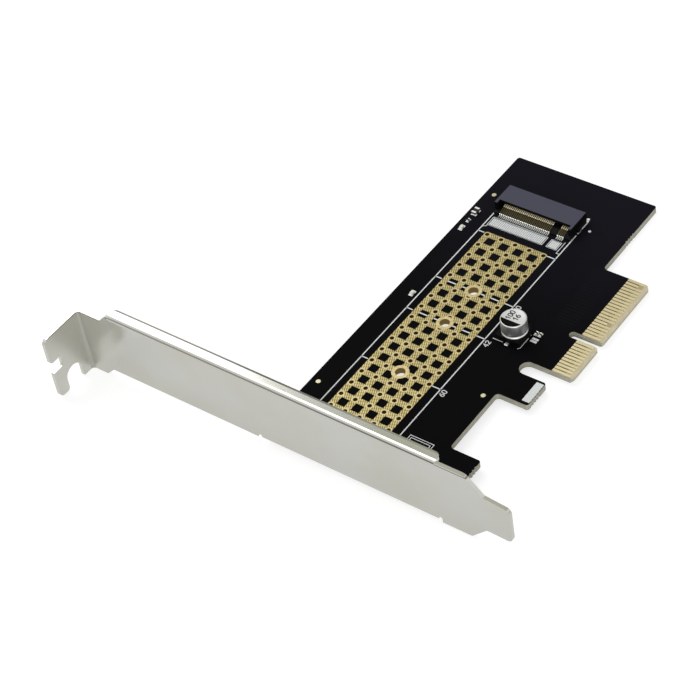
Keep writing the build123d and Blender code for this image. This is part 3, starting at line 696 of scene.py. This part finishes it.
def pinFinish():  # real gilt tips made brighter as painted light, beams darkened as painted shade, and tinned feet
    f = Finish("pinGold")
    wear = f.noise(2.2, 3, (1, 4, 1))
    gilt = f.colour(f.rise(wear, 0.3, 0.7), pinSet["giltDark"], pinSet["gilt"])
    # painted shade: the beams are dark
    beamShade = f.rise(f.x, *pinSet["beamStart"]) * (1 - f.rise(f.x, *pinSet["beamStop"]))
    foot = (1 - f.rise(f.x, *pinSet["beamStart"])).orElse(f.rise(f.x, *pinSet["backFeet"]))
    colour = f.colour(beamShade, gilt, pinSet["beamShade"])
    colour = f.colour(foot, colour, pinSet["tin"])
    # painted light: the tips are bright and only partly metallic
    litTip = (1 - beamShade) * (1 - foot)
    return f.finish(Base_Color=colour, Metallic=1 - 0.7 * litTip,
                    Roughness=0.24 + 0.1 * wear + 0.2 * beamShade)


pinGold = pinFinish()
paint("socket_upper_pins", pinGold)
paint("socket_lower_pins", pinGold)
print("socket is finished")


# Electrolytic capacitor's can, crimped over its base
canSet = {
    "middle": (-6.25, 19.0), "radius": 3.14, "low": 1.405, "top": 5.4, "lidDepth": 0.05,
    "aluminium": (0.80, 0.80, 0.79), "shade": (0.60, 0.60, 0.60), "lid": (0.66, 0.66, 0.65),
    "metallic": 0.87,   # the oxide on it is a little dull
    "ink": (0.003, 0.003, 0.003), "inkEdge": -1.08,   # from the middle, towards the bracket
}


def canFinish():
    f = Finish("canAluminium")
    edge = canSet["middle"][0] + canSet["inkEdge"]
    up = f.facing()[2]
    lid = f.rise(f.z, canSet["top"] - 0.2, canSet["top"] - 0.15) * f.rise(up, 0.9, 0.95)
    drawn = f.noise(1.2, 3, (6, 6, 0.15))
    colour = f.colour(f.rise(drawn, 0.3, 0.7), canSet["shade"], canSet["aluminium"])
    sector = (1 - f.rise(f.x, edge - 0.03, edge + 0.03)) * lid
    colour = f.colour(lid, colour, canSet["lid"])
    colour = f.colour(sector, colour, canSet["ink"])
    metallic = canSet["metallic"] * (1 - sector.orElse(0.5 * lid))
    return f.finish(Base_Color=colour, Metallic=metallic,
                    Roughness=0.34 + 0.1 * drawn + 0.1 * lid, Specular_IOR_Level=0.03,
                    Normal=f.bump(drawn, 0.004))


def canShape():
    r, low, top = canSet["radius"], canSet["low"], canSet["top"]
    soft = [(r - 0.35 + 0.35 * math.sin(a), top - 0.35 + 0.35 * math.cos(a))
            for a in (math.radians(90 - 15 * k) for k in range(7))]
    profile = [(r - 0.45, low), (r - 0.12, low + 0.02), (r, low + 0.1), (r, low + 0.2),
               (r - 0.1, low + 0.34), (r - 0.2, low + 0.46), (r - 0.2, low + 0.54),
               (r - 0.09, low + 0.68), (r - 0.01, low + 0.82), *soft,
               (r - 0.5, top - 0.015), (r - 0.62, top - canSet["lidDepth"]),
               (0.4, top - canSet["lidDepth"])]
    can = Shape()
    can.lathe(profile, canSet["middle"], 72)
    return can


canShape().make("capacitorCan", canFinish(), "can_aluminium", 35, ["capacitor_can"])
print("capacitor is finished")


# White print on the board: drive outline and its lengths, and outlines of parts
printSet = {
    "low": 0.0, "high": 0.02, "white": (0.80, 0.82, 0.80), "worn": (0.62, 0.64, 0.63),
    "line": 0.3, "thin": 0.18, "tick": 0.34, "bar": 0.42, "fine": 0.12,   # widths of strokes
    "driveLines": (((-58.0, 46.3), (27.3, 46.3)), ((-58.0, 24.3), (28.7, 24.3)),
                   ((29.5, 24.3), (34.1, 24.3))),
    "driveEnds": (-29.0, -10.9, 1.1, 19.4),         # each with a tick inwards from both lines
    "endTicks": ((44.6, 46.3), (24.3, 26.5)),
    "holes": (-10.9, 1.1),                          # drive holes with ticks on both sides
    "holeTicks": ((40.5, 42.5), (28.4, 30.4), (37.7, 38.4), (32.5, 33.2)),
    "lengths": (("60", -30.6), ("42", -12.8), ("30", 0.1)),
    "lengthY": 22.5, "lengthHeight": 1.2, "lengthStroke": 0.2,
    "patch": (-22.9, -16.6, 4.55, 6.5),
    "frameLeft": -57.0, "frameRight": -43.6, "frameTop": 22.3, "frameLow": 16.0,
    "frameInsets": (0.0, 0.6),
    "partLines": (((-9.7, 22.8), (-9.7, 20.3)), ((-9.9, 16.0), (-9.4, 15.6), (-5.9, 15.6)),
                  ((-4.75, 15.65), (-3.3, 17.05))),
    "rowLeft": 22.2, "rowRight": 24.85, "rows": ((29.9, 45.5), (25.9, 28.7)), "rowPitch": 0.5,
    "socketLines": (((21.2, 46.1), (21.6, 45.4), (22.1, 45.4)),
                    ((21.3, 24.5), (21.3, 25.25), (25.4, 25.25)), ((27.1, 24.3), (27.1, 26.1))),
    "rowEdge": ((25.15, 29.9), (25.15, 45.5)),
    "blocks": (-6.5, -5.7), "blockWidth": 0.62, "blockLow": 13.2, "blockTop": 14.9,
    "dots": ((35.05, 24.75, 0.42, 12), (34.35, 24.5, 0.36, 12), (31.56, 22.24, 0.42, 5)),
    "softCorner": 0.15,
}
strokes = {
    "0": [[(0, .2), (0, .8), (.15, 1), (.45, 1), (.6, .8), (.6, .2), (.45, 0), (.15, 0)]],
    "1": [[(.1, .8), (.35, 1), (.35, 0)]],
    "2": [[(0, .8), (.15, 1), (.45, 1), (.6, .8), (.6, .62), (0, 0), (.6, 0)]],
    "3": [[(0, 1), (.6, 1), (.3, .6), (.6, .4), (.6, .2), (.45, 0), (.15, 0), (0, .15)]],
    "4": [[(.45, 0), (.45, 1), (0, .3), (.62, .3)]],
    "6": [[(.5, 1), (.15, .75), (0, .45), (0, .2), (.15, 0), (.45, 0), (.6, .2), (.6, .38),
           (.45, .55), (.15, .55)]],
}


def write(shape, text, x, y, height, width, low, high):
    for digit in text:
        for path in strokes[digit]:
            shape.stroke([(x + u * height, y + v * height) for u, v in path], width, low,
                         high, closed=digit == "0")
        x += 0.86 * height


def boardPrint():
    p = printSet
    low, high, thin = p["low"], p["high"], p["thin"]
    ends = [((x, y0), (x, y1)) for x in p["driveEnds"] for y0, y1 in p["endTicks"]]
    ink = Shape()
    for path in (*p["driveLines"], *ends):
        ink.stroke(path, p["line"], low, high)
    for x in p["holes"]:
        for y0, y1 in p["holeTicks"]:
            ink.stroke([(x, y0), (x, y1)], p["tick"], low, high)
    for text, x in p["lengths"]:
        write(ink, text, x, p["lengthY"], p["lengthHeight"], p["lengthStroke"], low, high)
    ink.prism(roundedBox(*p["patch"], p["softCorner"], 3), low, high)
    left, right = p["frameLeft"], p["frameRight"]
    for inset in p["frameInsets"]:
        y0, y1 = p["frameLow"] + inset, p["frameTop"] - inset
        ink.stroke([(left, y1), (right - inset, y1), (right - inset, y0), (left, y0)],
                   thin, low, high)
    for path in p["partLines"]:
        ink.stroke(path, thin, low, high)
    left, right = p["rowLeft"], p["rowRight"]
    for y0, y1 in p["rows"]:   # a lined rectangle before each group of the socket's feet
        ink.stroke(box(left, right, y0, y1), thin, low, high, closed=True)
        count = round((y1 - y0) / p["rowPitch"])
        for k in range(1, count):
            y = y0 + (y1 - y0) * k / count
            ink.stroke([(left, y), (right, y)], p["bar"], low, high)
    for path in p["socketLines"]:
        ink.stroke(path, thin, low, high)
    ink.stroke(p["rowEdge"], p["fine"], low, high)
    for x in p["blocks"]:
        ink.prism(roundedBox(x, x + p["blockWidth"], p["blockLow"], p["blockTop"],
                             p["softCorner"], 3), low, high)
    for x, y, radius, steps in p["dots"]:
        ink.prism(ring(x, y, radius, steps), low, high)
    return ink


def inkFinish():
    f = Finish("whitePrint")
    patch = f.noise(3.0, 4)
    colour = f.colour(f.rise(patch, 0.25, 0.6), printSet["worn"], printSet["white"])
    return f.finish(Base_Color=colour, Roughness=0.55, Specular_IOR_Level=0.3,
                    Normal=f.bump(patch, 0.004))


boardPrint().make("boardPrint", inkFinish(), "solder_mask", 30)


# Print on the can's lid: its capacitance and voltage, as plain numbers
lidSet = {"rows": (("100", -0.85, 0.55), ("16", -0.4, -1.2)),   # placed from the can's middle
          "height": 1.15, "stroke": 0.26, "thickness": 0.01}


def lidPrint():
    middleX, middleY = canSet["middle"]
    low = canSet["top"] - canSet["lidDepth"]
    ink = Shape()
    for text, x, y in lidSet["rows"]:
        write(ink, text, middleX + x, middleY + y, lidSet["height"], lidSet["stroke"], low,
              low + lidSet["thickness"])
    return ink


lidPrint().make("lidPrint", plastic("ink"), "chip_black", 30)
print("print is finished")
